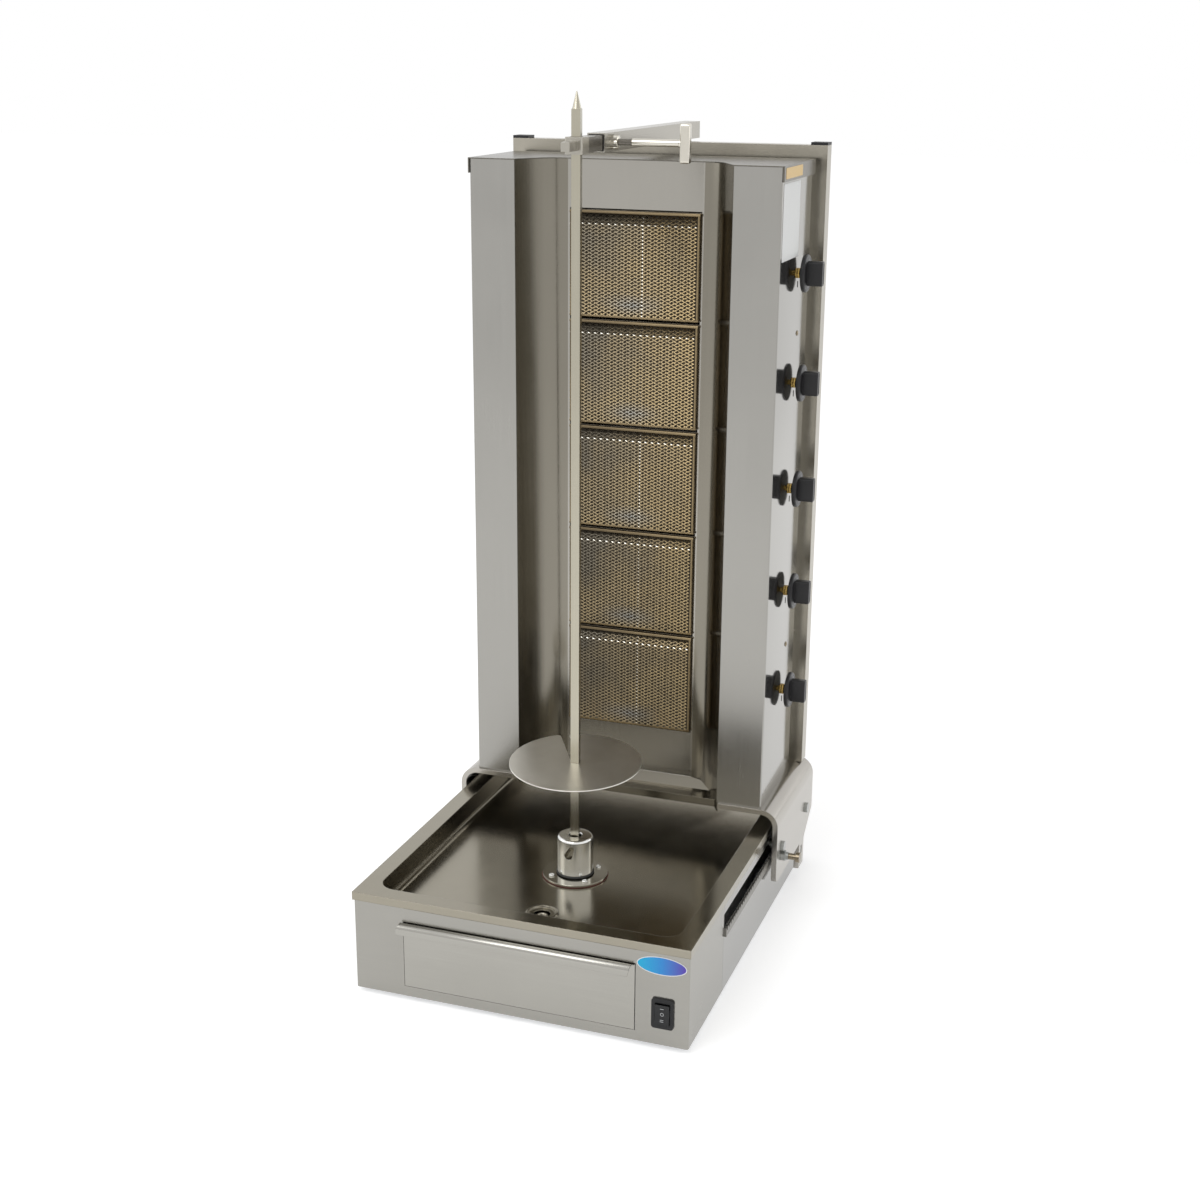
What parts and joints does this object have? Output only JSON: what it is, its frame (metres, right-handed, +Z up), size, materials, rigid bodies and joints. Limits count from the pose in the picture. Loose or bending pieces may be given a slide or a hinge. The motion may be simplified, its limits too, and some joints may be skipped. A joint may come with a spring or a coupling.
{
  "type": "gas doner kebab grill",
  "caption": "Upright gas doner grill with a column of mesh burners, turning spit and disc, grease drawer, sliding burner carriage and telescopic spit holder.",
  "frame": {"origin": "middle of the base box's underside; the four rubber feet reach 8 mm below it", "axes": "+Z up along the spit, -Y to the front with the drawer, +X to the side with the gas knobs"},
  "size_m": [0.5514, 0.757, 1.227],
  "materials": {
    "satin_steel": "satin stainless sheet",
    "polished_steel": "bright polished stainless sheet",
    "galvanised_steel": "galvanised sheet",
    "black_rubber": "matt",
    "red_rubber": "matt silicone",
    "black_plastic": "fine grain",
    "black_gloss": "gloss",
    "cast_housing": "as cast",
    "chromed_steel": "bright",
    "turned_steel": "turned and drawn",
    "zinc_steel": "bright zinc plate",
    "ceramic": "matt porous ceramic",
    "brass": "machined",
    "burner_steel": "heat tinted",
    "heat_tinted_mesh": "heat tinted woven wire"
  },
  "bodies": {
    "base": {"front_cover": "satin_steel", "side_panel_left": "satin_steel", "side_panel_right": "satin_steel", "rear_panel": "satin_steel", "base_floor": "galvanised_steel", "index_racks": "satin_steel", "rubber_feet": "black_rubber", "cable_gland": "black_plastic", "drip_tray": "polished_steel", "bearing_flange": "satin_steel", "flange_gasket": "red_rubber", "gearmotor": "cast_housing", "drawer_runners": "galvanised_steel", "switch_housing": "black_plastic"},
    "rocker": {"rocker": "black_gloss"},
    "spit": {"spit_coupling": "chromed_steel", "drive_shaft": "turned_steel", "spit_bar": "turned_steel", "spit_pins": "turned_steel"},
    "disc": {"meat_disc": "polished_steel"},
    "drawer": {"drawer_pan": "satin_steel", "drawer_front": "satin_steel"},
    "carriage": {"carriage_plate": "satin_steel", "slide_rollers": "zinc_steel", "plunger_housing": "zinc_steel", "wing_left": "satin_steel", "wing_right": "satin_steel", "reflector": "polished_steel", "top_cover": "satin_steel", "rear_cover": "satin_steel", "ceramic_plates": "ceramic", "gas_manifold": "zinc_steel", "gas_valves": "brass", "rear_frame": "satin_steel", "end_caps": "black_plastic", "outer_arm": "satin_steel", "burner_1": "burner_steel", "burner_2": "burner_steel", "burner_3": "burner_steel", "burner_4": "burner_steel", "burner_5": "burner_steel", "mesh_screen_1": "heat_tinted_mesh", "mesh_screen_2": "heat_tinted_mesh", "mesh_screen_3": "heat_tinted_mesh", "mesh_screen_4": "heat_tinted_mesh", "mesh_screen_5": "heat_tinted_mesh"},
    "arm": {"inner_arm": "satin_steel", "spit_bearing": "chromed_steel"},
    "clamp": {"clamp_screw": "chromed_steel"},
    "plunger": {"index_plunger": "zinc_steel"},
    "spindle_1": {"spindle_1": "brass"},
    "knob_1": {"knob_1": "black_plastic"},
    "spindle_2": {"spindle_2": "brass"},
    "knob_2": {"knob_2": "black_plastic"},
    "spindle_3": {"spindle_3": "brass"},
    "knob_3": {"knob_3": "black_plastic"},
    "spindle_4": {"spindle_4": "brass"},
    "knob_4": {"knob_4": "black_plastic"},
    "spindle_5": {"spindle_5": "brass"},
    "knob_5": {"knob_5": "black_plastic"}
  },
  "joints": [
    {"name": "spit_spin", "type": "hinge", "parent": "base", "child": "spit", "pos_m": [0, -0.097, 0.2], "axis": [0, 0, 1], "continuous": true},
    {"name": "disc_lift", "type": "slide", "parent": "spit", "child": "disc", "axis": [0, 0, 1], "range_m": [0, 0.78]},
    {"name": "drawer_slide", "type": "slide", "parent": "base", "child": "drawer", "axis": [0, -1, 0], "range_m": [0, 0.14]},
    {"name": "carriage_slide", "type": "slide", "parent": "base", "child": "carriage", "axis": [0, -1, 0], "range_m": [0, 0.055]},
    {"name": "arm_slide", "type": "slide", "parent": "carriage", "child": "arm", "axis": [0, -1, 0], "range_m": [-0.055, 0]},
    {"name": "clamp_turn", "type": "hinge", "parent": "carriage", "child": "clamp", "pos_m": [0.06, 0.01, 1.151], "axis": [1, 0, 0], "range_deg": [0, 360]},
    {"name": "plunger_pull", "type": "slide", "parent": "carriage", "child": "plunger", "axis": [1, 0, 0], "range_m": [0, 0.008], "stiffness_N_per_m": 800},
    {"name": "rocker_tilt", "type": "hinge", "parent": "base", "child": "rocker", "pos_m": [0.209, -0.322, 0.048], "axis": [1, 0, 0], "range_deg": [-7, 7]},
    {"name": "knob_turn_1", "type": "hinge", "parent": "carriage", "child": "spindle_1", "pos_m": [0.25, 0.193, 0.3318], "axis": [1, 0, 0], "range_deg": [0, 180]},
    {"name": "knob_push_1", "type": "slide", "parent": "spindle_1", "child": "knob_1", "axis": [-1, 0, 0], "range_m": [0, 0.003], "stiffness_N_per_m": 600},
    {"name": "knob_turn_2", "type": "hinge", "parent": "carriage", "child": "spindle_2", "pos_m": [0.25, 0.193, 0.4902], "axis": [1, 0, 0], "range_deg": [0, 180]},
    {"name": "knob_push_2", "type": "slide", "parent": "spindle_2", "child": "knob_2", "axis": [-1, 0, 0], "range_m": [0, 0.003], "stiffness_N_per_m": 600},
    {"name": "knob_turn_3", "type": "hinge", "parent": "carriage", "child": "spindle_3", "pos_m": [0.25, 0.193, 0.6486], "axis": [1, 0, 0], "range_deg": [0, 180]},
    {"name": "knob_push_3", "type": "slide", "parent": "spindle_3", "child": "knob_3", "axis": [-1, 0, 0], "range_m": [0, 0.003], "stiffness_N_per_m": 600},
    {"name": "knob_turn_4", "type": "hinge", "parent": "carriage", "child": "spindle_4", "pos_m": [0.25, 0.193, 0.807], "axis": [1, 0, 0], "range_deg": [0, 180]},
    {"name": "knob_push_4", "type": "slide", "parent": "spindle_4", "child": "knob_4", "axis": [-1, 0, 0], "range_m": [0, 0.003], "stiffness_N_per_m": 600},
    {"name": "knob_turn_5", "type": "hinge", "parent": "carriage", "child": "spindle_5", "pos_m": [0.25, 0.193, 0.9654], "axis": [1, 0, 0], "range_deg": [0, 180]},
    {"name": "knob_push_5", "type": "slide", "parent": "spindle_5", "child": "knob_5", "axis": [-1, 0, 0], "range_m": [0, 0.003], "stiffness_N_per_m": 600}
  ],
  "couplings": [
    {"joint": "arm_slide", "follows": "carriage_slide", "ratio": -1}
  ]
}
